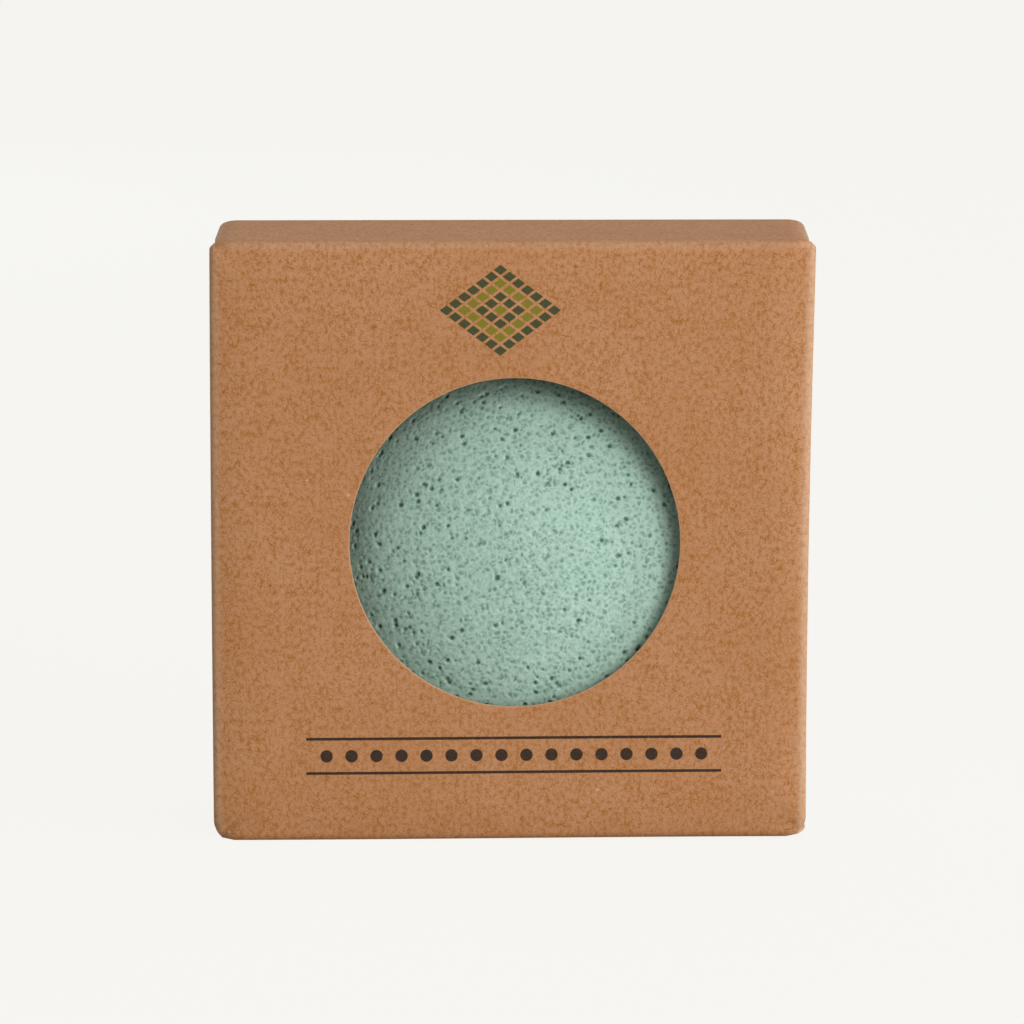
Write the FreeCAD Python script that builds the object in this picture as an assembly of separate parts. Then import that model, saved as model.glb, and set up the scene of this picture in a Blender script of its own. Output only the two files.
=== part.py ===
import FreeCAD, Part
import math
import os

from FreeCAD import Vector

# A konjac sponge packed in a kraft tuck-end carton with a round window.
# Millimetres. +X is the viewer's right, the front panel faces -Y, +Z is up.
# The origin is under the middle of the carton, on the surface it stands on.

# Konjac sponge: a half ball, dome to the front and moulded flat at the back
sponge_radius = 33.0
sponge_dome_radius = 52.0
sponge_shoulder_radius = 18.0
sponge_side_land = 2.0
sponge_back_round = 5.5

# Room round the sponge, which rests low and to the right; it sets the carton's size
sponge_right_room = 0.6
sponge_left_room = 12.5
sponge_seat_gap = 0.3
sponge_top_room = 12.8
sponge_front_room = 0.5
sponge_back_room = 5.6

# Kraft board and its creases
board_thickness = 0.45
crease_radius = 0.9
crease_tail = 0.9
hinge_clearance = 0.06

# Window in the front panel
window_radius = 21.85
window_side_offset = 0.55

# Glued side seam
seam_tab_width = 12.0
seam_tab_end_setback = 4.0
seam_tab_taper = 3.0
seam_glue_thickness = 0.1
seam_glue_inset = 1.0
seam_edge_setback = 0.2

# Closures, alike at the top and the bottom
back_edge_setback = 0.5
lid_side_setback = 0.4
lid_corner_radius = 2.0
tuck_length = 10.0
tuck_side_setback = 2.5
tuck_side_taper = 1.5
tuck_corner_radius = 5.0
tuck_wall_gap = 0.35
tuck_swing_gap = 0.1
dust_length = 22.0
dust_lid_gap = 0.15
dust_front_gap = 0.6
dust_back_gap = 0.8
dust_crease_overhang = 0.3
dust_corner_radius = 2.5

# How far the lid opens, and the share of its turn that the coupled flaps make
lid_opening_degrees = 135.0
tuck_turn_share = 0.25
dust_turn_share = 0.6

# Slopes of a dust flap's edges, which let the lid and the tongue swing past it
dust_front_slope_share = 0.68
dust_back_slope_share = 0.2

# How finely the tongue's lean is searched
lean_step_degrees = 0.25
swing_steps = 270

cut_overrun = 1.0

# Sizes that follow
sponge_rim_reach = math.sqrt(
    (sponge_dome_radius - sponge_shoulder_radius) ** 2
    - (sponge_radius - sponge_shoulder_radius) ** 2
)
sponge_rim_depth = sponge_dome_radius - sponge_rim_reach
sponge_thickness = sponge_rim_depth + sponge_side_land + sponge_back_round

carton_width = (
    2 * sponge_radius + sponge_right_room + sponge_left_room + 2 * board_thickness
)
carton_height = (
    2 * sponge_radius + sponge_seat_gap + sponge_top_room + 2 * board_thickness
)
carton_depth = (
    sponge_thickness + sponge_front_room + sponge_back_room + 2 * board_thickness
)
side_x = carton_width / 2
front_y = -carton_depth / 2
back_y = carton_depth / 2

crease_inner_radius = crease_radius - board_thickness
flap_root = math.sqrt(
    (crease_radius + hinge_clearance) ** 2 - crease_inner_radius**2
)
flat_half_width = side_x - crease_radius

lid_axis_y = front_y + crease_radius
lid_axis_z = carton_height - crease_radius
lid_half_width = side_x - lid_side_setback
tuck_axis_y = back_y - board_thickness - tuck_wall_gap - crease_radius
tuck_half_width = side_x - tuck_side_setback
lid_reach = tuck_axis_y - lid_axis_y

dust_axis_z = carton_height - board_thickness - dust_lid_gap - crease_radius
dust_front_y = lid_axis_y + crease_radius + dust_front_gap
dust_back_y = tuck_axis_y - crease_radius - dust_back_gap

front_edge_z = lid_axis_z - crease_tail
side_edge_z = dust_axis_z - crease_tail
back_edge_z = carton_height - back_edge_setback
seam_x = -side_x + board_thickness + seam_glue_thickness

sponge_axis_x = side_x - board_thickness - sponge_right_room - sponge_radius
sponge_axis_z = board_thickness + sponge_seat_gap + sponge_radius
sponge_apex_y = front_y + board_thickness + sponge_front_room

X = Vector(1, 0, 0)
Y = Vector(0, 1, 0)
Z = Vector(0, 0, 1)


def outline_edges(corners):
    """Edges of a closed flat outline, from its (point, rounding radius) corners in order."""
    count = len(corners)
    rounded = []
    for i, (point, radius) in enumerate(corners):
        if radius == 0:
            rounded.append((point, None, point))
            continue
        before = (corners[i - 1][0] - point).normalize()
        after = (corners[(i + 1) % count][0] - point).normalize()
        half_angle = before.getAngle(after) / 2
        setback = radius / math.tan(half_angle)
        centre = point + (before + after).normalize() * (radius / math.sin(half_angle))
        middle = centre + (point - centre).normalize() * radius
        rounded.append((point + before * setback, middle, point + after * setback))
    edges = []
    for i, (start, middle, end) in enumerate(rounded):
        if middle:
            edges.append(Part.Arc(start, middle, end).toShape())
        edges.append(Part.LineSegment(end, rounded[(i + 1) % count][0]).toShape())
    return edges


def pulled(edges, pull):
    """The solid swept by a closed chain of edges along a vector."""
    return Part.Face(Part.Wire(edges)).extrude(pull)


def board_plate(origin, along, across, out, corners):
    """A flat piece of board; its corners are (along, across, rounding radius) from the origin."""
    points = [(origin + along * a + across * b, radius) for a, b, radius in corners]
    return pulled(outline_edges(points), out * board_thickness)


def crease_bead(start, end, out, past):
    """A rolled crease from start to end of its axis, with a flat tail that meets its panel.

    out is the panel's outward normal, and past points from the panel over its edge.
    """
    turn = 2 * math.pi - math.acos(crease_inner_radius / crease_radius)
    tangent = start + out * crease_radius
    far_side = start + (out * math.cos(turn / 2) + past * math.sin(turn / 2)) * crease_radius
    meeting = start + (out * math.cos(turn) + past * math.sin(turn)) * crease_radius
    outer_tail = tangent - past * crease_tail
    inner_tail = start + out * crease_inner_radius - past * crease_tail
    edges = [
        Part.LineSegment(outer_tail, tangent).toShape(),
        Part.Arc(tangent, far_side, meeting).toShape(),
        Part.LineSegment(meeting, inner_tail).toShape(),
        Part.LineSegment(inner_tail, outer_tail).toShape(),
    ]
    return pulled(edges, end - start)


def corner_crease(centre_x, centre_y, first, second, low_z, high_z):
    """A standing quarter-round crease between the panels that face first and second."""
    centre = Vector(centre_x, centre_y, low_z)
    middle = (first + second).normalize()
    edges = [
        Part.Arc(*[centre + d * crease_radius for d in (first, middle, second)]).toShape(),
        Part.LineSegment(
            centre + second * crease_radius, centre + second * crease_inner_radius
        ).toShape(),
        Part.Arc(*[centre + d * crease_inner_radius for d in (second, middle, first)]).toShape(),
        Part.LineSegment(
            centre + first * crease_inner_radius, centre + first * crease_radius
        ).toShape(),
    ]
    return pulled(edges, Z * (high_z - low_z))


def front_panel():
    """The window panel, between the two lid creases and the two front corners."""
    low_z = carton_height - front_edge_z
    panel = Part.makeBox(
        2 * flat_half_width,
        board_thickness,
        front_edge_z - low_z,
        Vector(-flat_half_width, front_y, low_z),
    )
    window = Part.makeCylinder(
        window_radius,
        board_thickness + 2 * cut_overrun,
        Vector(window_side_offset, front_y - cut_overrun, carton_height / 2),
        Y,
    )
    return panel.cut(window)


def side_panel(left_x, rear_y):
    """A side panel from the front corner to its rear edge, between its dust flap creases."""
    low_z = carton_height - side_edge_z
    return Part.makeBox(
        board_thickness,
        rear_y - lid_axis_y,
        side_edge_z - low_z,
        Vector(left_x, lid_axis_y, low_z),
    )


def back_panel():
    """The plain back, whose cut top and bottom edges the tongues tuck behind."""
    low_z = carton_height - back_edge_z
    left_x = seam_x + crease_radius
    return Part.makeBox(
        flat_half_width - left_x,
        board_thickness,
        back_edge_z - low_z,
        Vector(left_x, back_y - board_thickness, low_z),
    )


def seam_outline(inset):
    """(along -Y, along Z) corners of the seam tab, drawn in from its edges by inset."""
    low_root = seam_tab_end_setback + inset
    low_free = low_root + seam_tab_taper
    free = seam_tab_width - inset
    return [
        (inset, low_root, 0),
        (inset, carton_height - low_root, 0),
        (free, carton_height - low_free, 0),
        (free, low_free, 0),
    ]


def seam_tab():
    """The tab that the back panel folds into, inside the left panel."""
    origin = Vector(seam_x, back_y - crease_radius, 0)
    return board_plate(origin, -Y, Z, X, seam_outline(0))


def seam_glue():
    """The dried film of glue between the left panel and the tab."""
    origin = Vector(seam_x - seam_glue_thickness, back_y - crease_radius, 0)
    points = [(origin - Y * a + Z * b, radius) for a, b, radius in seam_outline(seam_glue_inset)]
    return pulled(outline_edges(points), X * seam_glue_thickness)


def tongue_tip(lean, opened):
    """(y, z) of a tongue's outer tip from the lid's axis, with the lid opened by an angle."""
    turned = opened * (1 + tuck_turn_share) - lean
    y = lid_reach * math.cos(opened) + crease_radius * math.cos(turned) + tuck_length * math.sin(turned)
    z = lid_reach * math.sin(opened) + crease_radius * math.sin(turned) - tuck_length * math.cos(turned)
    return y, z


def tongue_lean():
    """The smallest inward lean with which the tongue swings out clear of the back panel."""
    wall_y = lid_reach + crease_radius + tuck_wall_gap - tuck_swing_gap
    edge_z = back_edge_z - lid_axis_z + tuck_swing_gap
    angles = [math.radians(lid_opening_degrees) * i / swing_steps for i in range(swing_steps)]
    lean = 0.0
    while any(y > wall_y and z < edge_z for y, z in (tongue_tip(lean, a) for a in angles)):
        lean += math.radians(lean_step_degrees)
    return lean


def lid():
    """The lid's flat, from its crease at the front panel to its tuck crease."""
    origin = Vector(0, lid_axis_y, lid_axis_z + crease_inner_radius)
    end = lid_reach - crease_tail
    corners = [
        (flap_root, -lid_half_width, 0),
        (flap_root, lid_half_width, 0),
        (end, lid_half_width, lid_corner_radius),
        (end, -lid_half_width, lid_corner_radius),
    ]
    return board_plate(origin, Y, X, Z, corners)


def lid_crease():
    """The fold between the front panel and the lid."""
    axis = Vector(0, lid_axis_y, lid_axis_z)
    return crease_bead(axis - X * flat_half_width, axis + X * flat_half_width, -Y, Z)


def tuck_crease():
    """The fold between the lid and its tongue."""
    axis = Vector(0, tuck_axis_y, lid_axis_z)
    return crease_bead(axis - X * tuck_half_width, axis + X * tuck_half_width, Z, Y)


def tuck_tongue():
    """The tongue behind the back panel, leaning in so that it can swing out."""
    lean = tongue_lean()
    along = Y * -math.sin(lean) - Z * math.cos(lean)
    out = Y * math.cos(lean) - Z * math.sin(lean)
    origin = Vector(0, tuck_axis_y, lid_axis_z) + out * crease_inner_radius
    tip_half_width = tuck_half_width - tuck_side_taper
    corners = [
        (flap_root, -tuck_half_width, 0),
        (flap_root, tuck_half_width, 0),
        (tuck_length, tip_half_width, tuck_corner_radius),
        (tuck_length, -tip_half_width, tuck_corner_radius),
    ]
    return board_plate(origin, along, X, out, corners)


def dust_crease(side):
    """The fold between a side panel and its dust flap; side is -1 at the left, 1 at the right."""
    start = Vector(side * flat_half_width, dust_front_y - dust_crease_overhang, dust_axis_z)
    end = Vector(side * flat_half_width, dust_back_y + dust_crease_overhang, dust_axis_z)
    return crease_bead(start, end, X * side, Z)


def dust_flap(side):
    """A dust flap under the lid, narrowed towards its tip so that it follows the lid freely."""
    origin = Vector(side * flat_half_width, 0, dust_axis_z + crease_inner_radius)
    reach = dust_length - flap_root
    corners = [
        (flap_root, dust_front_y, 0),
        (dust_length, dust_front_y + reach * dust_front_slope_share, dust_corner_radius),
        (dust_length, dust_back_y - reach * dust_back_slope_share, dust_corner_radius),
        (flap_root, dust_back_y, 0),
    ]
    return board_plate(origin, X * -side, Y, Z, corners)


def konjac_sponge():
    """The half-ball sponge: dome, shoulder, side and back edge run on tangent, turned about Y."""

    def at(radius, depth):
        return Vector(sponge_axis_x + radius, sponge_apex_y + depth, sponge_axis_z)

    def on_arc(centre_radius, centre_depth, radius, angle):
        return at(centre_radius + radius * math.sin(angle), centre_depth - radius * math.cos(angle))

    join = math.atan2(sponge_radius - sponge_shoulder_radius, sponge_rim_reach)
    shoulder = (sponge_radius - sponge_shoulder_radius, sponge_rim_depth, sponge_shoulder_radius)
    dome = (0, sponge_dome_radius, sponge_dome_radius)
    back_edge = (
        sponge_radius - sponge_back_round,
        sponge_rim_depth + sponge_side_land,
        sponge_back_round,
    )
    arcs = [
        (dome, 0, join),
        (shoulder, join, math.pi / 2),
        (back_edge, math.pi / 2, math.pi),
    ]
    edges = [
        Part.Arc(*[on_arc(*arc, a) for a in (first, (first + last) / 2, last)]).toShape()
        for arc, first, last in arcs
    ]
    lines = [
        (on_arc(*shoulder, math.pi / 2), on_arc(*back_edge, math.pi / 2)),
        (on_arc(*back_edge, math.pi), at(0, sponge_thickness)),
        (at(0, sponge_thickness), at(0, 0)),
    ]
    edges += [Part.LineSegment(*line).toShape() for line in lines]
    full_turn_degrees = 360
    profile = Part.Wire(Part.__sortEdges__(edges))
    return Part.Face(profile).revolve(at(0, 0), Y, full_turn_degrees)


def closure():
    """The top closure's pieces by name."""
    return {
        "lid_crease": lid_crease(),
        "lid": lid(),
        "tuck_crease": tuck_crease(),
        "tuck_tongue": tuck_tongue(),
        "dust_crease_left": dust_crease(-1),
        "dust_flap_left": dust_flap(-1),
        "dust_crease_right": dust_crease(1),
        "dust_flap_right": dust_flap(1),
    }


def carton_and_sponge():
    """Every piece by the name of its node."""
    low_z = carton_height - lid_axis_z
    pieces = {
        "front_panel": front_panel(),
        "right_panel": side_panel(side_x - board_thickness, back_y - crease_radius),
        "back_panel": back_panel(),
        "left_panel": side_panel(-side_x, back_y - seam_edge_setback),
        "front_right_crease": corner_crease(flat_half_width, lid_axis_y, -Y, X, low_z, lid_axis_z),
        "front_left_crease": corner_crease(-flat_half_width, lid_axis_y, -Y, -X, low_z, lid_axis_z),
        "back_right_crease": corner_crease(
            flat_half_width, back_y - crease_radius, Y, X, low_z, lid_axis_z
        ),
        "seam_crease": corner_crease(
            seam_x + crease_radius,
            back_y - crease_radius,
            Y,
            -X,
            seam_tab_end_setback,
            carton_height - seam_tab_end_setback,
        ),
        "seam_tab": seam_tab(),
        "seam_glue": seam_glue(),
        "konjac_sponge": konjac_sponge(),
    }
    for name, piece in closure().items():
        pieces["top_" + name] = piece
        pieces["bottom_" + name] = piece.mirror(Vector(0, 0, carton_height / 2), Z)
    return pieces


os.makedirs("parts", exist_ok=True)
for node, piece in carton_and_sponge().items():
    piece.exportStep("parts/" + node + ".step")
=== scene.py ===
import itertools
import math

import bmesh
import bpy
import numpy as np
from mathutils import Euler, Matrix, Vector


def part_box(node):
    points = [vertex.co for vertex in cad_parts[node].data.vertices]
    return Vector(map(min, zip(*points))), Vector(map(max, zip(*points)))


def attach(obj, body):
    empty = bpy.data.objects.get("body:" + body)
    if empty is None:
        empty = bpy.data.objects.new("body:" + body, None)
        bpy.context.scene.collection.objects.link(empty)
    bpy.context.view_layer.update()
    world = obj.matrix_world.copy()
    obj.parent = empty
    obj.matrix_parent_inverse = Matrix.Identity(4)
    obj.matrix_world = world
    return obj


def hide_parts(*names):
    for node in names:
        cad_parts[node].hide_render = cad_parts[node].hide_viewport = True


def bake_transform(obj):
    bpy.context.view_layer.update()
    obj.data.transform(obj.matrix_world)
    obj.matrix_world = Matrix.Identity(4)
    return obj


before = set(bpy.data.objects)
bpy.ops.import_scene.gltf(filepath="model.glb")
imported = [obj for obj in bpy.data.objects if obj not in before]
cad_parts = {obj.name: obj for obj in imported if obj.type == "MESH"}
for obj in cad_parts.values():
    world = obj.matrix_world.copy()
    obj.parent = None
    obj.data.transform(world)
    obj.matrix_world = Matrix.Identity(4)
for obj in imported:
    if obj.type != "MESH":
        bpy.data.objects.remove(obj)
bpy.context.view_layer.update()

# The looks of a konjac sponge packed in a kraft tuck-end carton with a round window.
# Lengths are millimetres until a mesh is made; +X is the viewer's right and the front faces -Y.
# Floor, lamps and camera are in metres.

MM = 0.001
X, Y, Z = np.eye(3)

# Carton, as the solids have it
half_width = 40.0
height = 80.0
depth = (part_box("back_panel")[1].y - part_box("front_panel")[0].y) / MM
board = 0.45
crease = 0.9
fold_gap = 0.06
tuck_gap = 0.35
dust_gap = 0.15
glue_thickness = 0.1
tab_length = 12.0
left_end_gap = 0.2
tongue_length = 10.0
tongue_inset = 2.5
tongue_taper = 0.15
tongue_round = 5.0
tongue_lean = math.radians(11.5)
dust_length = 22.0
dust_round = 2.5
dust_front_gap = 0.6
dust_front_taper = 0.68
dust_back_gap = 0.8
dust_back_taper = 0.2

# Places of the carton that follow from these
middle = height / 2
front_y = -depth / 2
back_y = depth / 2
flat_half = half_width - crease
lid_y = front_y + crease
lid_z = height - crease
tuck_y = back_y - board - tuck_gap - crease
dust_z = height - board - dust_gap - crease
lid_run = tuck_y - lid_y
panel_run = 2 * lid_z - height
quarter = crease * math.pi / 2
seam_x = -half_width + board + glue_thickness

# Positions along the blank where the sleeve's folds start and end
side_run = 2 * (back_y - crease)
u_right = flat_half + quarter
u_back = u_right + side_run
u_wall = u_back + quarter
u_seam = u_wall + flat_half - (seam_x + crease)
u_tab = u_seam + quarter
u_end = u_tab + tab_length
u_left_back = -u_right - side_run
u_left_end = u_left_back - (crease - left_end_gap)

# Small shapes that the die leaves along the sleeve's ends
ear_width = 2.2
ear_slope = 0.1
nick_width = 0.3
nick_slope = 1.2
corner_ease = 0.4
seam_step = 0.1
lid_swell = 0.34
lid_swell_run = 1.2
lid_corner = 9.0

# Window and cut edges
window_centre = np.array([0.5, middle - 0.1])
window_radius = 22.0
cut_bevel = 0.05
rim_bevel = 0.14
layer_stretch = 20.0
sharp_angle = 50

# Print on the front panel
lozenge_u, lozenge_v = -1.5, 70.9
tile_width = 2.381
tile_height = 1.786
lozenge_rings = 3
band_u, band_v = 0.4, 11.4
rule_offset = 2.3
rule_half = 0.19
rule_reach = 27.75
bead_pitch = 10 / 3
bead_radius = 0.837
bead_reach = 26.65

# How the carton has settled in use; each side's lean is its foot, top, belly and tucked-in upper back
lean_from = 24.0
belly_fade = (height - 2, height - 14)
tuck_rise = (height - 20, height - 1)
tuck_back = (0.02, 0.35)
right_lean = (-0.62, 1.0, 0.4, -0.6)
left_lean = (-0.3, 0.45, 0.2, -0.8)
top_shift = 0.25
stretch = 0.004
right_foot_lift = 0.4
foot_height = 50.0
panel_wave = 0.1
wave_x, wave_z = 19.0, 23.0
wave_depth = (10.0, 17.0)
top_fold_sink = 0.2
bottom_fold_sink = 0.65
side_fold_sink = 0.3
fold_front = (front_y + 1.8, front_y + 0.4)
end_fold_reach = (3.5, 0.2)
side_fold_reach = (3.0, 0.2)
corner_wear = 0.4
wear_front = (front_y + 9, front_y + 3)
wear_side = (2.4, 0.3)
wear_end = (2.6, 0.3)

# Sponge, as the solid has it
sponge_radius = 33.0
dome_radius = 52.0
shoulder_radius = 18.0
sponge_land = 2.0
sponge_back_round = 5.5
sponge_side_gap = 0.6
sponge_front_gap = 0.5
sponge_base_gap = 0.3
sponge_axis = np.array([
    half_width - board - sponge_side_gap - sponge_radius,
    front_y + board + sponge_front_gap,
    board + sponge_base_gap + sponge_radius,
])

# Foam: mesh spacing where the window shows it and further back, and the sizes of its cells
fine_space = 0.225
coarse_space = 0.725
fine_until, coarse_from = 33.0, 37.0
row_ratio = 0.866
cell_size = 0.86
small_cell_size = 0.5
big_cell_size = 1.9
cell_warp = 0.12
skin_depth = 0.13
# Bands towards the sponge's rim and its lower part, where more and darker pores are drawn: partly real
# pores, partly painted shade where the window's rim shades the foam.
rim_shade_band = (10.0, 26.0)
low_shade_band = (-3.0, -13.0)


def smooth(low, high, value):
    """Smooth step from 0 at low to 1 at high."""
    t = np.clip((value - low) / (high - low), 0, 1)
    return t * t * (3 - 2 * t)


def linear(red, green, blue):
    """A colour written as 0 to 255, as the shaders take it."""
    values = [c / 255 for c in (red, green, blue)]
    return [c / 12.92 if c <= 0.04045 else ((c + 0.055) / 1.055) ** 2.4 for c in values] + [1.0]


def hashed(cells, salt):
    """A repeatable random number from 0 to 1 for each row of whole numbers."""
    c = cells.astype(np.int64).astype(np.uint64)
    n = c[:, 0] * np.uint64(73856093) ^ c[:, 1] * np.uint64(19349663) ^ c[:, 2] * np.uint64(83492791)
    n = (n ^ np.uint64(salt * 2654435761)) * np.uint64(0x9E3779B97F4A7C15)
    n ^= n >> np.uint64(29)
    n *= np.uint64(0xBF58476D1CE4E5B9)
    n ^= n >> np.uint64(32)
    return (n & np.uint64(0xFFFFFF)).astype(float) / 0x1000000


def foam_cells(points, size, salt):
    """Distance to the nearest and next cell centre, in cell sizes, and two random numbers of the cell."""
    p = points / size
    base = np.floor(p)
    first = np.full(len(p), np.inf)
    second = np.full(len(p), np.inf)
    owner = np.zeros_like(base)
    for step in itertools.product((-1, 0, 1), repeat=3):
        cell = base + step
        centre = cell + np.stack([hashed(cell, salt + n) for n in range(3)], 1)
        far = np.linalg.norm(p - centre, axis=1)
        nearer = far < first
        second = np.where(nearer, first, np.minimum(second, far))
        first = np.where(nearer, far, first)
        owner[nearer] = cell[nearer]
    return first, second, hashed(owner, salt + 7), hashed(owner, salt + 8)


def drift(points, size, salt):
    """Soft noise from -1 to 1 that changes over about one size."""
    p = points / size
    base = np.floor(p)
    f = smooth(0, 1, p - base)
    total = np.zeros(len(p))
    for corner in itertools.product((0, 1), repeat=3):
        share = np.prod(np.where(corner, f, 1 - f), axis=1)
        total += share * hashed(base + corner, salt)
    return total * 2 - 1


def make_piece(name, points, faces, values, material, sharp=None):
    """A mesh object from millimetre points, with per-point values stored for its material."""
    mesh = bpy.data.meshes.new(name)
    mesh.from_pydata((np.asarray(points) * MM).tolist(), [], faces)
    for key, data in values.items():
        data = np.asarray(data, float)
        kind, field = ("FLOAT_VECTOR", "vector") if data.ndim == 2 else ("FLOAT", "value")
        mesh.attributes.new(key, kind, "POINT").data.foreach_set(field, data.ravel())
    work = bmesh.new()
    work.from_mesh(mesh)
    bmesh.ops.recalc_face_normals(work, faces=work.faces)
    work.to_mesh(mesh)
    work.free()
    mesh.polygons.foreach_set("use_smooth", [True] * len(mesh.polygons))
    if sharp:
        mesh.set_sharp_from_angle(angle=math.radians(sharp))
    mesh.materials.append(material)
    piece = bpy.data.objects.new(name, mesh)
    bpy.context.scene.collection.objects.link(piece)
    return piece


# Shader graphs


class Graph:
    """The node tree of a material or a world, with short ways to add and join nodes."""

    def __init__(self, owner):
        owner.use_nodes = True
        self.owner = owner
        self.tree = owner.node_tree
        self.tree.nodes.clear()

    def add(self, kind, inputs=(), **settings):
        node = self.tree.nodes.new("ShaderNode" + kind)
        for key, value in settings.items():
            setattr(node, key, value)
        for key, value in dict(inputs).items():
            if isinstance(value, bpy.types.NodeSocket):
                self.tree.links.new(value, node.inputs[key])
            else:
                node.inputs[key].default_value = value
        return node

    def math(self, operation, a, b=0.0, c=0.0):
        return self.add("Math", {0: a, 1: b, 2: c}, operation=operation).outputs[0]

    def times(self, first, *others):
        for other in others:
            first = self.math("MULTIPLY", first, other)
        return first

    def weigh(self, *pairs, start=0.0):
        """Sum of values, each times its weight."""
        total = start
        for value, weight in pairs:
            total = self.math("MULTIPLY_ADD", value, weight, total)
        return total

    def away(self, value, place):
        """Distance from a place along one axis."""
        return self.math("ABSOLUTE", self.math("SUBTRACT", value, place))

    def vector(self, operation, a, b):
        return self.add("VectorMath", {0: a, 1: b}, operation=operation).outputs[0]

    def noise(self, at, scale, detail=2.0, roughness=0.5, distortion=0.0):
        inputs = {"Vector": at, "Scale": scale, "Detail": detail, "Roughness": roughness,
                  "Distortion": distortion}
        return self.add("TexNoise", inputs).outputs["Fac"]

    def bent(self, at, scale, amount, detail=2.0):
        """Places moved about by noise, so that cells drawn on them aren't regular."""
        moved = self.add("TexNoise", {"Vector": at, "Scale": scale, "Detail": detail}).outputs["Color"]
        return self.vector("ADD", at, self.vector("MULTIPLY", moved, amount))

    def cells(self, at, scale):
        """Distance from the nearest cell centre, and a random number of that cell."""
        found = self.add("TexVoronoi", {"Vector": at, "Scale": scale}).outputs
        return found["Distance"], self.add("SeparateColor", {0: found["Color"]}).outputs[0]

    def step(self, value, low, high, start=0.0, end=1.0):
        inputs = {"Value": value, "From Min": low, "From Max": high, "To Min": start, "To Max": end}
        return self.add("MapRange", inputs, interpolation_type="SMOOTHSTEP").outputs[0]

    def within(self, value, limit, soft):
        """1 below a limit and 0 above it, over a soft edge."""
        return self.step(value, limit - soft, limit + soft, 1.0, 0.0)

    def mix(self, share, a, b):
        return self.add("Mix", {0: share, 6: a, 7: b}, data_type="RGBA").outputs[2]

    def attribute(self, name, output):
        return self.add("Attribute", attribute_name=name).outputs[output]

    def bump(self, height, strength, distance):
        return self.add("Bump", {"Strength": strength, "Distance": distance, "Height": height}).outputs[0]

    def seen(self):
        """1 for rays that show a backdrop: the camera's, mirrored ones and those through glass."""
        path = self.add("LightPath").outputs
        mirrored = self.math("MAXIMUM", path["Is Glossy Ray"], path["Is Transmission Ray"])
        return self.math("MAXIMUM", path["Is Camera Ray"], mirrored)

    def close(self, shader, output="OutputMaterial"):
        self.add(output, {0: shader})
        return self.owner

    def finish(self, inputs):
        return self.close(self.add("BsdfPrincipled", inputs).outputs[0])


def new_graph(name):
    """The empty node tree of a new material."""
    return Graph(bpy.data.materials.new(name))


# Kraft board


def lozenge_of_tiles(g, u, v):
    """Print over the window: masks of the tiles and of the dark rings among them."""
    across = g.math("DIVIDE", g.math("SUBTRACT", u, lozenge_u), tile_width)
    up = g.math("DIVIDE", g.math("SUBTRACT", v, lozenge_v), tile_height)
    ring = inner = 0.0
    for turned in (g.math("ADD", across, up), g.math("SUBTRACT", across, up)):
        place = g.math("SUBTRACT", g.math("FRACT", g.math("ADD", turned, 0.5)), 0.5)
        ring = g.math("MAXIMUM", ring, g.away(turned, place))
        inner = g.math("MAXIMUM", inner, g.math("ABSOLUTE", place))
    tile = g.times(g.within(inner, 0.38, 0.02), g.within(ring, lozenge_rings + 0.5, 0.1))
    odd = g.math("GREATER_THAN", g.math("FRACT", g.weigh((ring, 0.5), start=0.005)), 0.4)
    return tile, odd


def band_of_beads(g, u, v):
    """Print under the window: a mask of a row of beads between two rules."""
    up = g.away(v, band_v)
    aside = g.math("SUBTRACT", u, band_u)
    reach = g.math("ABSOLUTE", aside)
    rules = g.times(g.within(g.away(up, rule_offset), rule_half, 0.03), g.within(reach, rule_reach, 0.05))
    place = g.math("SUBTRACT", g.math("FRACT", g.math("DIVIDE", aside, bead_pitch)), 0.5)
    along = g.times(place, bead_pitch)
    far = g.math("ADD", g.times(along, along), g.times(up, up))
    beads = g.times(g.within(far, bead_radius**2, 0.1), g.within(reach, bead_reach, 0.05))
    return g.math("MAXIMUM", rules, beads)


def kraft_fibres(g, blank):
    """Thin strokes of fibre that lie in three directions."""
    fibre = 0.0
    for turn, place in ((0.25, 0.0), (1.15, 31.0), (2.2, 57.0)):
        turned = g.add("VectorRotate", {"Vector": blank, "Angle": turn}, rotation_type="Z_AXIS").outputs[0]
        stretched = g.vector("ADD", g.vector("MULTIPLY", turned, (0.75, 4.2, 1.0)), (place, 0.0, 0.0))
        stroke = g.noise(stretched, 1.0, detail=1.0, roughness=0.4, distortion=0.9)
        fibre = g.math("MAXIMUM", fibre, g.step(stroke, 0.66, 0.76))
    return fibre


def fold_wear_and_sheen(g, u, v, mat):
    """Where handling has paled the front panel's folds, with a painted highlight on them that is strongest
    on the right fold, where the light falls.
    """
    wear_and_sheen = 0.0
    folds = (
        # Each fold's strength: the right fold gets more painted highlight than the left, which lies in
        # shade.
        (u, flat_half + quarter / 2, 0.55),
        (u, -flat_half - quarter / 2, 0.45),
        (v, lid_z + quarter / 2, 0.25),
    )
    for along, fold, strength in folds:
        wear_and_sheen = g.math("MAXIMUM", wear_and_sheen, g.step(g.away(along, fold), 0.4, 1.4, strength, 0.0))
    return g.times(wear_and_sheen, g.step(mat, 0.3, 0.6, 0.6, 1.0))


def kraft_specks(g, at, scale):
    """Rare small specks, at some of the cells of a coarse net."""
    far, luck = g.cells(at, scale)
    return g.times(g.within(far, 0.035, 0.015), g.step(luck, 0.55, 0.6))


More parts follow.
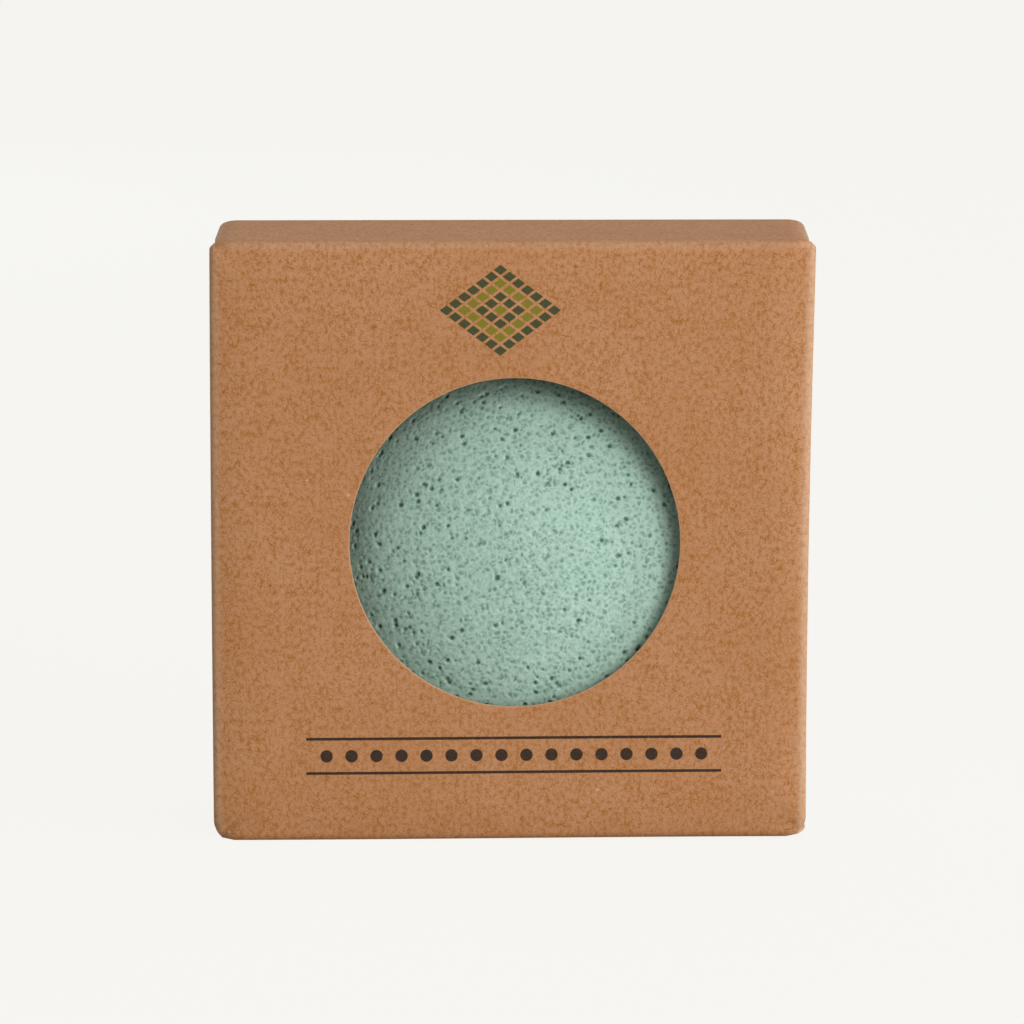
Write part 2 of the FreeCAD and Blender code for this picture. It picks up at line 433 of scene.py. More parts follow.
def kraft_board():
    """Uncoated kraft board: an ochre-mottled fibre mat, rare specks, pale cut edges and a little print."""
    g = new_graph("kraft_board")
    blank = g.attribute("blank", "Vector")
    u, v, w = g.add("SeparateXYZ", {0: blank}).outputs
    grain = g.vector("MULTIPLY", blank, (1.15, 0.85, 1.0))
    mat = g.noise(grain, 1.5, detail=4.0, roughness=0.68)
    fine = g.noise(grain, 4.6, roughness=0.6)
    patch = g.noise(g.vector("ADD", grain, (7.3, 3.1, 0.0)), 0.3)
    cloud = g.noise(blank, 0.06)
    fibre = kraft_fibres(g, blank)
    tone = g.weigh((mat, 0.7), (fine, 0.3), (patch, 0.16), start=-0.08)
    ochre, tan = linear(165, 99, 4), linear(199, 145, 105)
    colour = g.mix(g.step(tone, 0.3, 0.6), ochre, tan)
    colour = g.mix(g.step(fine, 0.5, 0.8, 0.0, 0.6), colour, linear(208, 160, 126))
    colour = g.mix(g.step(cloud, 0.3, 0.7, 0.0, 0.22), colour, linear(177, 115, 55))
    colour = g.mix(g.times(fibre, 0.6), colour, linear(158, 95, 18))
    # Paler folds: partly rubbing, partly a painted highlight that is strongest on the right fold.
    colour = g.mix(fold_wear_and_sheen(g, u, v, mat), colour, linear(206, 172, 142))

    bent = g.bent(blank, 2.2, (0.8, 0.8, 0.0))
    pale_specks = kraft_specks(g, bent, 0.16)
    dark_specks = kraft_specks(g, g.vector("ADD", bent, (5.0, 9.0, 2.0)), 0.2)
    colour = g.mix(g.times(pale_specks, 0.55), colour, linear(214, 190, 166))
    colour = g.mix(g.times(dark_specks, 0.6), colour, linear(104, 72, 36))

    tile, odd = lozenge_of_tiles(g, u, v)
    outside = g.math("LESS_THAN", w, cut_bevel * layer_stretch)
    worn = g.step(g.noise(blank, 3.4, detail=3.0, roughness=0.6), 0.28, 0.45, 0.84, 1.0)
    olive, moss, umber = linear(128, 121, 28), linear(62, 68, 36), linear(42, 24, 8)
    colour = g.mix(g.times(tile, worn, outside), colour, g.mix(odd, olive, moss))
    colour = g.mix(g.times(band_of_beads(g, u, v), worn, outside), colour, umber)

    layers = g.noise(g.vector("MULTIPLY", blank, (1.0, 1.0, 3.0)), 2.6, detail=3.0)
    edge = g.mix(g.step(layers, 0.35, 0.65), linear(190, 146, 110), linear(214, 178, 146))
    colour = g.mix(g.attribute("cut", "Fac"), colour, edge)
    relief = g.weigh((mat, 0.6), (fine, 0.4), (fibre, 0.2))
    return g.finish({
        "Base Color": colour,
        "Roughness": g.step(mat, 0.3, 0.7, 0.76, 0.62),
        "Specular IOR Level": 0.34,
        "Normal": g.bump(relief, 0.4, 0.1 * MM),
    })


# Foam and glue


def konjac_foam():
    """Damp-green konjac foam: a net of cell walls paled by a painted highlight round hollows and open pores
    darkened by painted shade, soft scatter.
    """
    g = new_graph("konjac_foam")
    pore_shade = g.attribute("pore_shade", "Fac")
    rest = g.attribute("rest", "Vector")
    fine = g.noise(rest, 2.6, detail=3.0, roughness=0.6)
    cloud = g.noise(rest, 0.12)
    net_scale = 1.35
    bent = g.bent(rest, 0.9, (1.2, 1.2, 1.2), detail=1.0)
    far, luck = g.cells(bent, net_scale)
    net = {"Vector": bent, "Scale": net_scale}
    to_wall = g.add("TexVoronoi", net, feature="DISTANCE_TO_EDGE").outputs[0]
    hollow = g.times(g.step(far, 0.05, 0.6, 1.0, 0.0), g.step(luck, 0.0, 1.0, 0.3, 0.85))
    # Paler cell walls: a painted highlight where the thin walls catch the light.
    wall_highlight = g.step(to_wall, 0.0, 0.2, 0.42, 0.0)
    colour = g.mix(g.step(fine, 0.32, 0.68), linear(166, 202, 186), linear(192, 226, 212))
    colour = g.mix(g.step(cloud, 0.35, 0.65, 0.0, 0.35), colour, linear(164, 203, 186))
    # Painted highlight on the cell walls.
    colour = g.mix(wall_highlight, colour, linear(212, 241, 230))
    # Painted shade: the cell hollows and, by the per-point pore value, the open pores are darkened where
    # shade falls into them.
    colour = g.mix(hollow, colour, linear(114, 154, 132))
    colour = g.mix(g.step(pore_shade, 0.1, 0.6), colour, linear(110, 148, 123))
    colour = g.mix(g.step(pore_shade, 0.5, 1.0), colour, linear(66, 94, 66))
    relief = g.weigh((fine, 0.35), (hollow, -0.8))
    return g.finish({
        "Base Color": colour,
        "Roughness": g.step(fine, 0.3, 0.7, 0.82, 0.62),
        "Specular IOR Level": 0.06,
        "Subsurface Weight": 0.2,
        "Subsurface Radius": (0.7, 1.0, 0.8),
        "Subsurface Scale": 0.4 * MM,
        "Normal": g.bump(relief, 0.35, 0.15 * MM),
    })


def dried_glue():
    """A thin film of dried carton glue."""
    g = new_graph("dried_glue")
    blank = g.attribute("blank", "Vector")
    cloud = g.noise(blank, 0.5, detail=3.0)
    bubble = g.noise(blank, 2.5)
    return g.finish({
        "Base Color": g.mix(g.step(cloud, 0.3, 0.7), linear(196, 172, 126), linear(222, 204, 166)),
        "Roughness": g.step(bubble, 0.3, 0.7, 0.3, 0.5),
        "Normal": g.bump(bubble, 0.5, 0.05 * MM),
    })


kraft = kraft_board()
foam = konjac_foam()
glue = dried_glue()


# Board pieces: each is drawn flat on the blank, then folded into place


def fold_board(name, true_uv, inset_uv, faces, loops, place, thickness=board, material=kraft):
    """A closed sheet of board; place folds points of the blank, at a depth below its face, into space."""
    layers = [(inset_uv, 0.0, None)]
    for deep in (cut_bevel, thickness - cut_bevel):
        layers += [(true_uv[loop], deep, loop) for loop in loops]
    layers.append((inset_uv, thickness, None))
    points, blank, cut, starts = [], [], [], []
    for uv, deep, loop in layers:
        starts.append(sum(len(p) for p in points))
        points.append(place(uv, deep))
        blank.append(np.column_stack([uv, np.full(len(uv), deep * layer_stretch)]))
        cut.append(np.full(len(uv), 0.0 if loop is None else 1.0))
    count = len(loops)
    inner = starts[-1]
    every = [tuple(f) for f in faces] + [tuple(inner + i for i in reversed(f)) for f in faces]
    for n, loop in enumerate(loops):
        size = len(loop)
        rings = [
            list(loop),
            [starts[1 + n] + i for i in range(size)],
            [starts[1 + count + n] + i for i in range(size)],
            [inner + i for i in loop],
        ]
        for upper, lower in zip(rings, rings[1:]):
            for i in range(size):
                j = (i + 1) % size
                every.append((upper[i], upper[j], lower[j], lower[i]))
    values = {"blank": np.concatenate(blank), "cut": np.concatenate(cut)}
    return make_piece(name, np.concatenate(points), every, values, material, sharp=sharp_angle)


def grid_faces(columns, rows, first=0):
    """Quads of a grid whose points run row by row, and the loop of point numbers round its edge."""
    at = first + np.arange(columns * rows).reshape(rows, columns)
    faces = [
        (at[j, i], at[j, i + 1], at[j + 1, i + 1], at[j + 1, i])
        for j in range(rows - 1)
        for i in range(columns - 1)
    ]
    loop = np.concatenate([at[0, :-1], at[:-1, -1], at[-1, :0:-1], at[:0:-1, 0]])
    return faces, loop


def settled(points, spread=1.0):
    """The carton as it stands in use: leaning sides, softened folds, worn corners, a lifted right foot."""
    x, y, z = points.T
    back = np.clip((y - front_y) / depth, 0, 1)
    climb = np.clip(z / lid_z, 0, 1.02)
    bulge = np.sin(np.pi * back) * climb * smooth(*belly_fade, z)
    tucked = smooth(*tuck_rise, z) * smooth(*tuck_back, back)

    def lean(amounts, toward, rise):
        foot, top, belly, tuck = amounts
        return smooth(lean_from, half_width, toward) * (foot + top * rise + belly * bulge + tuck * tucked)

    sideways = lean(right_lean, x, climb**2) - lean(left_lean, -x, climb)
    wave = panel_wave * np.sin(x / wave_x + 0.6) * np.sin(z / wave_z + 0.4)
    wave *= smooth(half_width, half_width - 10, np.abs(x)) * smooth(middle, middle - 4, np.abs(z - middle))
    wave *= smooth(*wave_depth, np.abs(y))
    end = np.minimum(z, height - z)
    side = half_width - np.abs(x)
    end_sink = np.where(z < middle, bottom_fold_sink, top_fold_sink)
    fold = end_sink * smooth(*end_fold_reach, end) + side_fold_sink * smooth(*side_fold_reach, side)
    fold *= smooth(*fold_front, y)
    worn = smooth(*wear_front, y) * smooth(*wear_side, side) * smooth(*wear_end, z)
    foot = smooth(-half_width, half_width, x) * smooth(foot_height, 0, z)
    out = points.copy()
    out[:, 0] += top_shift * climb**2 + spread * sideways - corner_wear * np.sign(x) * worn
    out[:, 1] += wave + fold
    out[:, 2] += stretch * z + right_foot_lift * foot + corner_wear * worn
    return out


def settled_lid(points):
    """As settled, for a lid: its crease follows the sleeve and its flat part keeps its own width."""
    return settled(points, smooth(lid_y + 1.0, front_y + 0.2, points[:, 1]))


def facing_round(turn, first, second):
    """Directions that turn from first to second."""
    return np.outer(np.cos(turn), first) + np.outer(np.sin(turn), second)


def wrap_sleeve(uv, deep):
    """Folds the four panels, their corner creases and the seam tab round the carton."""
    u, v = uv.T
    reach = crease - deep
    over = np.maximum(np.abs(v - middle) - (lid_z - middle), 0) / crease
    sign = np.sign(v - middle)

    def panel(x, y):
        return np.column_stack([np.broadcast_to(x, u.shape), np.broadcast_to(y, u.shape), v])

    def corner(start, centre, first, second):
        return np.array(centre) + facing_round((u - start) / crease, first, second) * reach + np.outer(v, Z)

    def domed(start, centre, first, second):
        """A front corner, where the standing crease rounds over into the lid's crease."""
        facing = facing_round((u - start) / crease, first, second)
        level = np.where(over > 0, middle + sign * (lid_z - middle), v)
        rise = sign * np.sin(over) * (1 - 0.7 * (1 + facing[:, 1]))
        return np.array(centre) + facing * reach * np.cos(over)[:, None] + np.outer(level + rise * reach, Z)

    back_start = back_y - crease
    runs = [
        (u < -u_right, panel(-half_width + deep, lid_y - (u + u_right))),
        ((u >= -u_right) & (u < -flat_half), domed(-u_right, (-flat_half, lid_y, 0), -X, -Y)),
        ((u >= -flat_half) & (u <= flat_half), panel(u, front_y + deep)),
        ((u > flat_half) & (u <= u_right), domed(flat_half, (flat_half, lid_y, 0), -Y, X)),
        ((u > u_right) & (u <= u_back), panel(half_width - deep, lid_y + u - u_right)),
        ((u > u_back) & (u <= u_wall), corner(u_back, (flat_half, back_start, 0), X, Y)),
        ((u > u_wall) & (u <= u_seam), panel(flat_half - (u - u_wall), back_y - deep)),
        ((u > u_seam) & (u <= u_tab), corner(u_seam, (seam_x + crease, back_start, 0), Y, -X)),
        (u > u_tab, panel(seam_x + deep, back_start - (u - u_tab))),
    ]
    flat = np.zeros((len(u), 3))
    for chosen, places in runs:
        flat[chosen] = places[chosen]
    return settled(flat)


def sleeve_top(u):
    """Height of the sleeve's upper edge along the blank: fold starts, nicks beside them, cut edges."""
    side_edge = height - 0.8
    nick = height - 1.6
    back_corner = height - 0.7
    back_edge = height - 0.5
    seam_edge = height - 1.4
    tab_root = height - 2.0
    tab_tip = height - 7.0
    ear = ear_width + ear_slope
    sixth = quarter / 6
    dome = ((0, nick), (sixth, lid_z + 0.1), (3 * sixth, lid_z + 0.8), (quarter - sixth, lid_z + 1.15))
    marks = [
        (u_left_end, side_edge), (u_left_back + ear_width, side_edge), (u_left_back + ear, dust_z),
        (-u_right - nick_slope, dust_z), (-u_right - nick_width, nick),
        *((-u_right + along, top) for along, top in dome),
        (-flat_half, lid_z), (flat_half, lid_z),
        *((u_right - along, top) for along, top in reversed(dome)),
        (u_right + nick_width, nick), (u_right + nick_slope, dust_z),
        (u_back - ear, dust_z), (u_back - ear_width, side_edge), (u_back, side_edge),
        (u_wall, back_corner), (u_wall + corner_ease, back_edge), (u_seam, back_edge),
        (u_seam + seam_step, seam_edge), (u_tab, tab_root), (u_end, tab_tip),
    ]
    return np.interp(u, *zip(*marks))


def steps(start, end, count):
    """Evenly spaced places, both ends among them."""
    return np.linspace(start, end, count + 1)


def sleeve_columns(us, rows, cut_column, inward):
    """Blank points of the sleeve beside the front panel, true and with the cut edges drawn in."""
    top = sleeve_top(us)
    v = (height - top) + rows[:, None] * (2 * top - height)
    true = np.stack([np.broadcast_to(us, v.shape), v], -1)
    inset = true.copy()
    on_fold = 0.05
    raw = (np.abs(top - lid_z) > on_fold) & (np.abs(top - dust_z) > on_fold)
    inset[0, raw, 1] += cut_bevel
    inset[-1, raw, 1] -= cut_bevel
    inset[:, cut_column, 0] += inward * cut_bevel
    return true.reshape(-1, 2), inset.reshape(-1, 2)


def carton_sleeve():
    """The four panels with the window, folded from one blank and closed by the seam tab."""
    near_end = np.array([0, 0.35, 0.7, 1.1, 1.6, 2.4, 3.6, 5.4])
    inner_row = 7.8
    between = np.linspace(inner_row, panel_run - inner_row, 30)
    rows = np.concatenate([near_end, between, panel_run - near_end[::-1]]) / panel_run
    ear = ear_width + ear_slope
    fold = 6
    left_u = np.concatenate([
        steps(u_left_end, u_left_back + ear_width, 2),
        steps(u_left_back + ear, -u_right - nick_slope, 14),
        [-u_right - nick_width],
        steps(-u_right, -flat_half, fold),
    ])
    right_u = np.concatenate([
        steps(flat_half, u_right, fold),
        [u_right + nick_width],
        steps(u_right + nick_slope, u_back - ear, 14),
        [u_back - ear_width],
        steps(u_back, u_wall, fold),
        [u_wall + corner_ease],
        steps(u_wall + 3, u_seam, 24),
        [u_seam + seam_step],
        steps(u_seam + 0.25, u_tab, fold),
        steps(u_tab + 1, u_end, 4),
    ])
    left_true, left_inset = sleeve_columns(left_u, rows, 0, 1)
    right_true, right_inset = sleeve_columns(right_u, rows, -1, -1)
    left_faces, _ = grid_faces(len(left_u), len(rows))
    right_faces, _ = grid_faces(len(right_u), len(rows), len(left_true))
    left_at = np.arange(len(left_true)).reshape(len(rows), -1)
    right_at = len(left_true) + np.arange(len(right_true)).reshape(len(rows), -1)

    # The front panel: rings from the window's rim out to the panel's rectangle
    inner_u = np.linspace(-flat_half, flat_half, 33)[1:-1]
    bottom = np.column_stack([inner_u, np.full(len(inner_u), height - lid_z)])
    top = np.column_stack([inner_u[::-1], np.full(len(inner_u), lid_z)])
    placed = np.concatenate([left_true, right_true, bottom, top])
    bottom_at = len(left_true) + len(right_true) + np.arange(len(bottom))
    top_at = bottom_at + len(bottom)
    edge_at = np.concatenate([left_at[0, -1:], bottom_at, right_at[:, 0], top_at, left_at[:0:-1, -1]])
    ray = placed[edge_at] - window_centre
    far = np.linalg.norm(ray, axis=1)
    ray = ray / far[:, None]
    shares = [0.0, 0.012, 0.04, 0.09, 0.17, 0.28, 0.42, 0.57, 0.72, 0.86]
    rings = [window_centre + ray * (window_radius + (far - window_radius) * s)[:, None] for s in shares]
    rim_inset = window_centre + ray * (window_radius + rim_bevel)
    count = len(edge_at)
    ring_at = [len(placed) + k * count + np.arange(count) for k in range(len(shares))]
    true = np.concatenate([placed] + rings)
    inset = np.concatenate([left_inset, right_inset, bottom, top, rim_inset] + rings[1:])
    ring_loops = ring_at + [edge_at]
    front_faces = [
        (high[i], high[(i + 1) % count], low[(i + 1) % count], low[i])
        for low, high in zip(ring_loops, ring_loops[1:])
        for i in range(count)
    ]
    outline = np.concatenate([
        left_at[0], bottom_at, right_at[0, :-1], right_at[:-1, -1],
        right_at[-1, ::-1], top_at, left_at[-1, :0:-1], left_at[:0:-1, 0],
    ])
    faces = left_faces + right_faces + front_faces
    return fold_board("carton_sleeve", true, inset, faces, [outline, ring_at[0]], wrap_sleeve)


def flap(name, fold, run, limits, blank_at, shape, bottom):
    """A flap that starts with its own crease and goes on flat for a run, between the limits of its sides.

    fold is the crease's axis, the directions out, past and along it, and how far it turns.
    """
    axis, out, past, along, turn = fold
    arc = crease * turn
    length = arc + run
    tip = 5.2
    tip_rows = length - tip * (1 - np.sin(np.linspace(0, math.pi / 2, 13)))
    b = np.concatenate([np.linspace(0, arc, 9), np.linspace(arc, length - tip, 9)[1:], tip_rows[1:]])
    low, high = np.array([limits(max(d - arc, 0.0)) for d in b]).T[:, :, None]
    columns = 41
    share = np.linspace(0, 1, columns)
    true_a = low + (high - low) * share
    inset_a = low + cut_bevel + (high - low - 2 * cut_bevel) * share
    true_b = np.broadcast_to(b[:, None], true_a.shape)
    inset_b = true_b * (length - cut_bevel) / length
    true = np.stack([true_a, true_b], -1).reshape(-1, 2)
    inset = np.stack([inset_a, inset_b], -1).reshape(-1, 2)
    faces, loop = grid_faces(columns, len(b))

    def place(ab, deep):
        a, d = ab.T
        theta = np.minimum(d / crease, turn)
        flat = np.maximum(d - arc, 0)[:, None]
        points = axis + facing_round(theta, out, past) * (crease - deep)
        points = points + facing_round(theta, past, -out) * flat + np.outer(a, along)
        if bottom:
            points[:, 2] = height - points[:, 2]
        return shape(points)

    piece = fold_board(name, true, inset, faces, [loop], place)
    layer = piece.data.attributes["blank"].data
    where = np.zeros(len(layer) * 3)
    layer.foreach_get("vector", where)
    where = where.reshape(-1, 3)
    u, v = blank_at(where[:, 0], where[:, 1])
    where[:, 0] = u
    where[:, 1] = height - v if bottom else v
    layer.foreach_set("vector", where.ravel())
    return piece


def rounded(half, radius, run, distance):
    """Half width near a free end whose corners are rounded."""
    over = max(distance - (run - radius), 0.0)
    return half - (radius - math.sqrt(max(radius * radius - over * over, 0.0)))


def fold_mark(point, shape, bottom):
    """A point of a fold's axis line, in metres, where the settled carton has it."""
    x, y, z = point
    place = np.array([[x, y, height - z if bottom else z]], float)
    return tuple(shape(place)[0] * MM)


def lid_board(end, bottom):
    """The lid, with the crease that joins it to the front panel."""

    def limits(d):
        half = flat_half + fold_gap + lid_swell * smooth(0.0, lid_swell_run, d)
        over = max(d - (lid_run - lid_corner), 0.0) / lid_corner
        tuck_half = half_width - tongue_inset
        half = tuck_half + (half - tuck_half) * math.sqrt(max(1 - over * over, 0.0))
        return -half, half

    def blank_at(a, b):
        return a, lid_z + b

    fold = (np.array([0, lid_y, lid_z]), -Y, Z, X, math.pi / 2)
    lid = flap(end + "_lid_board", fold, lid_run, limits, blank_at, settled_lid, bottom)
    fold_mark((0, front_y, lid_z), settled_lid, bottom)
    fold_mark((0, lid_y, height), settled_lid, bottom)
    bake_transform(lid)
    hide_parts(end + "_lid", end + "_lid_crease")
    return lid


def tuck_board(end, bottom):
    """The tongue that tucks inside the back panel, with its crease on the lid."""

    def limits(d):
        half = rounded(half_width - tongue_inset - tongue_taper * d, tongue_round, tongue_length, d)
        return -half, half

    def blank_at(a, b):
        return a, lid_z + quarter + lid_run + b

    fold = (np.array([0, tuck_y, lid_z]), Z, Y, X, math.pi / 2 + tongue_lean)
    tongue = flap(end + "_tuck_board", fold, tongue_length, limits, blank_at, settled_lid, bottom)
    arc_end = (0, tuck_y + crease * math.cos(tongue_lean), lid_z - crease * math.sin(tongue_lean))
    fold_mark((0, tuck_y, height), settled_lid, bottom)
    fold_mark(arc_end, settled_lid, bottom)
    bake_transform(tongue)
    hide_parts(end + "_tuck_tongue", end + "_tuck_crease")
    return tongue


def dust_board(end, bottom, side, sign):
    """A dust flap, with its crease on the side panel."""
    root = math.sqrt((crease + fold_gap) ** 2 - (crease - board) ** 2)
    low_y = lid_y + crease + dust_front_gap
    high_y = tuck_y - crease - dust_back_gap

    def limits(d):
        over = max(d - root, 0.0)
        cut = -rounded(0.0, dust_round, dust_length, d)
        return low_y + dust_front_taper * over + cut, high_y - dust_back_taper * over - cut

    def blank_at(a, b):
        return sign * (u_right + a - lid_y), dust_z + b

    fold = (np.array([sign * flat_half, 0, dust_z]), sign * X, Z, Y, math.pi / 2)
    dust = flap(f"{end}_dust_board_{side}", fold, dust_length, limits, blank_at, settled, bottom)
    fold_mark((sign * half_width, 0, dust_z), settled, bottom)
    fold_mark((sign * flat_half, 0, dust_z + crease), settled, bottom)
    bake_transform(dust)
    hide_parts(f"{end}_dust_flap_{side}", f"{end}_dust_crease_{side}")
    return dust


def closure(end):
    """Lid, tuck tongue and two dust flaps of one end."""
    bottom = end == "bottom"
    made = [lid_board(end, bottom), tuck_board(end, bottom)]
    for side, sign in (("left", -1), ("right", 1)):
        made.append(dust_board(end, bottom, side, sign))
    return made


def seam_glue_film():
    """The dried film of glue between the left panel and the tab, with an uneven edge."""
    columns, rows = 9, 40
    margin, end_margin, slant = 1.0, 5.0, 3.0
    a = np.linspace(margin, tab_length - margin, columns)
    low = end_margin + slant * a / tab_length
    aside = (a - tab_length / 2) / (tab_length / 2 - margin)
    true = []
    for j, t in enumerate(np.linspace(0, 1, rows)):
        uneven = 0.35 * math.sin(j * 1.7) + 0.25 * math.sin(j * 0.61)
        true.append(np.column_stack([a + uneven * aside, low + (height - 2 * low) * t]))
    true = np.concatenate(true)
    faces, loop = grid_faces(columns, rows)

    def place(uv, deep):
        x = np.full(len(uv), -half_width + board + deep)
        return settled(np.column_stack([x, back_y - crease - uv[:, 0], uv[:, 1]]))

    return fold_board("seam_glue_film", true, true, faces, [loop], place, glue_thickness, glue)


# Sponge


def sponge_profile():
    """Rings of the sponge from its apex to the middle of its back: radius, depth, facing and spacing."""
    inner = sponge_radius - shoulder_radius
    reach = math.sqrt((dome_radius - shoulder_radius) ** 2 - inner**2)
    rim = dome_radius - reach
    join = math.atan2(inner, reach)
    back_inner = sponge_radius - sponge_back_round
    runs = [dome_radius * join, shoulder_radius * (math.pi / 2 - join), sponge_land,
            sponge_back_round * math.pi / 2, back_inner]
    marks = np.concatenate([[0], np.cumsum(runs)])
    total = marks[-1]

    def at(s):
        if s <= marks[1]:
            a = s / dome_radius
            return dome_radius * math.sin(a), dome_radius * (1 - math.cos(a)), a
        if s <= marks[2]:
            a = join + (s - marks[1]) / shoulder_radius
            return inner + shoulder_radius * math.sin(a), rim - shoulder_radius * math.cos(a), a
        if s <= marks[3]:
            return sponge_radius, rim + s - marks[2], math.pi / 2
        low = rim + sponge_land
        if s <= marks[4]:
            a = math.pi / 2 + (s - marks[3]) / sponge_back_round
            return back_inner + sponge_back_round * math.sin(a), low - sponge_back_round * math.cos(a), a
        return total - s, low + sponge_back_round, math.pi

    rings = []
    s = 0.0
    last_gap = 0.4
    while s < total - last_gap:
        space = fine_space + (coarse_space - fine_space) * float(smooth(fine_until, coarse_from, s))
        rings.append((*at(s), space))
        s += space * row_ratio
    rings.append((*at(total), coarse_space))
    return rings


def half_turn(n):
    """Every other ring starts half a step on."""
    return 0.5 * (n % 2)


def stitch(starts, counts):
    """Triangles between neighbouring rings of points."""
    faces = []
    for n, (a0, b0, na, nb) in enumerate(zip(starts, starts[1:], counts, counts[1:])):
        if na == 1 or nb == 1:
            hub, ring, size = (a0, b0, nb) if na == 1 else (b0, a0, na)
            faces += [(hub, ring + i, ring + (i + 1) % size) for i in range(size)]
            continue
        i = j = 0
        while i < na or j < nb:
            next_a = (i + 1 + half_turn(n)) / na
            next_b = (j + 1 + half_turn(n + 1)) / nb
            if j >= nb or (i < na and next_a <= next_b):
                faces.append((a0 + i % na, a0 + (i + 1) % na, b0 + j % nb))
                i += 1
            else:
                faces.append((a0 + i % na, b0 + (j + 1) % nb, b0 + j % nb))
                j += 1
    return faces


def fine_foam(surface, warped):
    """Foam where the window shows it: how deep its cells and open pores sink, and how much painted shade
    darkens them.
    """
    near, next_near, luck, luck_2 = foam_cells(warped, cell_size, 1)
    small_near, small_next, _, _ = foam_cells(warped, small_cell_size, 90)
    big_near, _, _, big_luck = foam_cells(warped, big_cell_size, 20)
    cell = smooth(0.0, 0.5, next_near - near)
    small_cell = smooth(0.0, 0.6, small_next - small_near)
    patch = 0.5 + 0.5 * drift(surface, 6.0, 60)
    x, _, z = (surface - sponge_axis).T
    outer = smooth(*rim_shade_band, np.hypot(x, z))
    low = smooth(*low_shade_band, z)
    hollow = 1 - smooth(0.18, 0.52, near)
    # More open pores towards the sponge's rim and its lower part: partly real pores, partly painted shade.
    chance = luck_2 + 0.1 * patch + 0.12 * outer + 0.2 * low - 0.02
    half_open = smooth(0.62, 0.86, chance) * hollow
    open_cell = smooth(0.93, 1.04, chance) * hollow
    vent = (big_luck > 0.95 - 0.06 * outer - 0.05 * low) * (1 - smooth(0.08, 0.26, big_near))
    blob = (0.14 + 0.5 * luck**1.5) * (1 - smooth(0.08, 0.58, near))
    sink = 0.03 * cell + 0.02 * small_cell + 0.11 * blob + 0.06 * half_open + 0.24 * open_cell + 0.36 * vent
    # shade is painted shade: how much the foam's colour darkens in its cells and pores.
    shade = 0.36 * blob + 0.26 * half_open + 0.45 * open_cell + 0.5 * vent
    return sink, shade


def coarse_foam(warped):
    """Foam further back, where only large cells are drawn: how deep they sink, and how much painted shade
    darkens them.
    """
    near, next_near, luck, luck_2 = foam_cells(warped, big_cell_size, 20)
    cell = smooth(0.02, 0.4, next_near - near)
    open_cell = (luck_2 > 0.6) * (1 - smooth(0.2, 0.5, near))
    sink = (0.1 + 0.35 * luck) * cell + 0.6 * open_cell
    shade = 0.4 * cell * (0.4 + luck) + 0.7 * open_cell
    return sink, shade


def konjac_sponge():
    """The half-ball sponge: ring mesh with foam cells and open pores sunk into it."""
    surface, facing, spacing, starts, counts = [], [], [], [], []
    for n, (radius, deep, angle, space) in enumerate(sponge_profile()):
        count = max(1, round(2 * math.pi * radius / space))
        turn = (np.arange(count) + half_turn(n)) * 2 * math.pi / count
        ray = facing_round(turn, X, Z)
        surface.append(sponge_axis + ray * radius + Y * deep)
        facing.append(ray * math.sin(angle) - Y * math.cos(angle))
        spacing.append(np.full(count, space))
        starts.append(sum(counts))
        counts.append(count)
    surface = np.concatenate(surface)
    facing = np.concatenate(facing)
    coarse = smooth(0.26, 0.65, np.concatenate(spacing))
    warped = surface + cell_warp * np.stack([drift(surface, 0.9, 40 + n) for n in range(3)], 1)
    fine_sink, fine_shade = fine_foam(surface, warped)
    coarse_sink, coarse_shade = coarse_foam(warped)
    sink = fine_sink * (1 - coarse) + coarse_sink * coarse
    lumps = 0.05 * drift(surface, 5.5, 70) + 0.025 * drift(surface, 2.4, 75)
    points = surface - facing * (sink + lumps + skin_depth)[:, None]
    # Painted shade of the cells and pores, stored per point for the foam's colour.
    pore_shade = np.clip(fine_shade * (1 - coarse) + coarse_shade * coarse, 0, 1)
    return make_piece("konjac_puff", points, stitch(starts, counts), {"pore_shade": pore_shade, "rest": surface}, foam)


sleeve = carton_sleeve()
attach(sleeve, "carton")
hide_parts("front_panel", "right_panel", "back_panel", "left_panel", "front_right_crease",
            "back_right_crease", "front_left_crease", "seam_crease", "seam_tab")
for piece in closure("top") + closure("bottom"):
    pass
film = seam_glue_film()
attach(film, "carton")
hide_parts("seam_glue")
sponge = konjac_sponge()
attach(sponge, "sponge")
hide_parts("konjac_sponge")


# Floor, light and camera

scene = bpy.context.scene
scene.view_settings.view_transform = "Standard"
backdrop_colour = linear(246, 245, 241)
floor_half = 4.0
floor_glow = 1.125
floor_glow_share = 0.86
lamp_aim = Vector((0, 0, middle * MM))
front_middle = Vector((0, front_y * MM, middle * MM))
picture_width = 1024


def pale_floor():
    """A wide pale floor that shows its own colour to the camera and keeps a soft shadow."""
    g = new_graph("pale_floor")
    place = g.add("TexCoord").outputs["Object"]
    tone = g.mix(g.noise(place, 6.0), linear(172, 171, 168), linear(164, 163, 160))
    plain = g.add("BsdfDiffuse", {"Color": tone}).outputs[0]
    glow = g.add("Emission", {"Color": backdrop_colour, "Strength": floor_glow}).outputs[0]
    share = g.times(g.seen(), floor_glow_share)
    pale = g.close(g.add("MixShader", {0: share, 1: plain, 2: glow}).outputs[0])
    corners = [(x * floor_half, y * floor_half, 0) for x, y in ((-1, -1), (1, -1), (1, 1), (-1, 1))]
    mesh = bpy.data.meshes.new("floor")
    mesh.from_pydata(corners, [], [(0, 1, 2, 3)])
    mesh.materials.append(pale)
    floor = bpy.data.objects.new("floor", mesh)
    scene.collection.objects.link(floor)


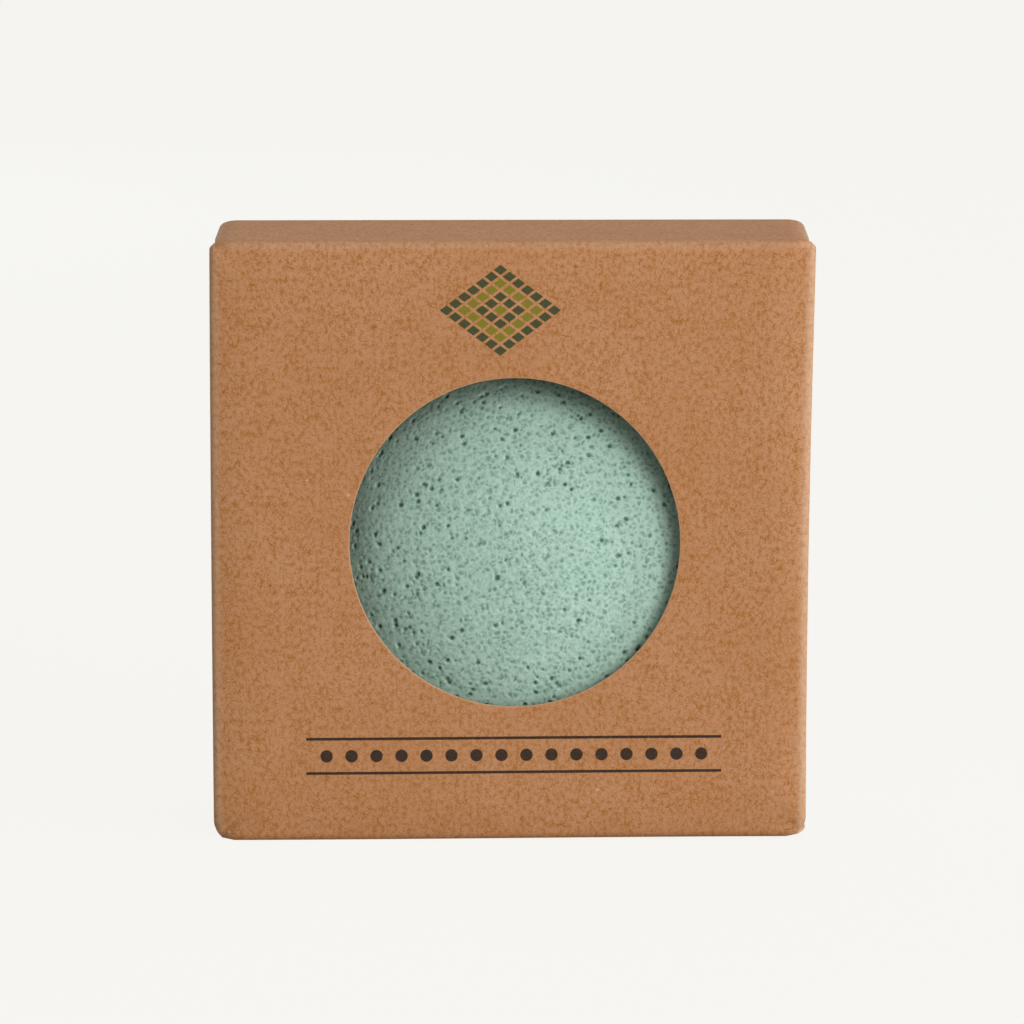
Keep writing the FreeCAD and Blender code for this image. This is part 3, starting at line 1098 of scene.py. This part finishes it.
def pale_world(strength):
    """Even light all round; the camera sees the backdrop's colour."""
    g = Graph(bpy.data.worlds.new("pale_world"))
    light = g.add("Background", {"Color": (1.0, 0.98, 0.94, 1.0), "Strength": strength}).outputs[0]
    shown = g.add("Background", {"Color": backdrop_colour}).outputs[0]
    both = g.add("MixShader", {0: g.seen(), 1: light, 2: shown}).outputs[0]
    scene.world = g.close(both, "OutputWorld")


def lamp(name, place, size, power, colour=(1, 1, 1), mirrored=True):
    """A soft square lamp that points at the carton, in watts; gloss shows it only where it is mirrored."""
    data = bpy.data.lights.new(name, "AREA")
    data.shape = "SQUARE"
    data.size = size
    data.energy = power
    data.color = colour
    item = bpy.data.objects.new(name, data)
    item.location = place
    item.rotation_euler = (lamp_aim - Vector(place)).to_track_quat("-Z", "Y").to_euler()
    item.visible_glossy = mirrored
    scene.collection.objects.link(item)


def camera(distance, elevation, scale, aim, roll):
    """A long lens in front; scale is pixels per metre at the front face."""
    data = bpy.data.cameras.new("camera")
    data.sensor_width = 36.0
    data.lens = scale * distance / picture_width * data.sensor_width
    data.clip_start = 0.05
    data.clip_end = 20.0
    item = bpy.data.objects.new("camera", data)
    item.location = front_middle + Vector((0, -math.cos(elevation), math.sin(elevation))) * distance
    look = (aim - item.location).to_track_quat("-Z", "Y")
    item.rotation_euler = (look @ Euler((0, 0, roll)).to_quaternion()).to_euler()
    scene.collection.objects.link(item)
    scene.camera = item


pale_floor()
pale_world(0.36)
lamp("key", (0.53, -0.97, 0.34), size=0.65, power=7.3, colour=(1.0, 0.98, 0.95))
lamp("side", (0.9, -0.15, 0.2), size=0.4, power=4.0)
lamp("fill", (-0.8, -0.8, 0.3), size=0.8, power=0.2)
lamp("behind", (-0.5, 1.1, 0.14), size=0.3, power=3.0, colour=(0.84, 1.0, 1.0), mirrored=False)
camera(
    distance=1.2,
    elevation=math.radians(6.9),
    scale=7517.0,
    aim=front_middle + Vector((0.0002, 0, 0.00425)),
    roll=math.radians(-0.1),
)
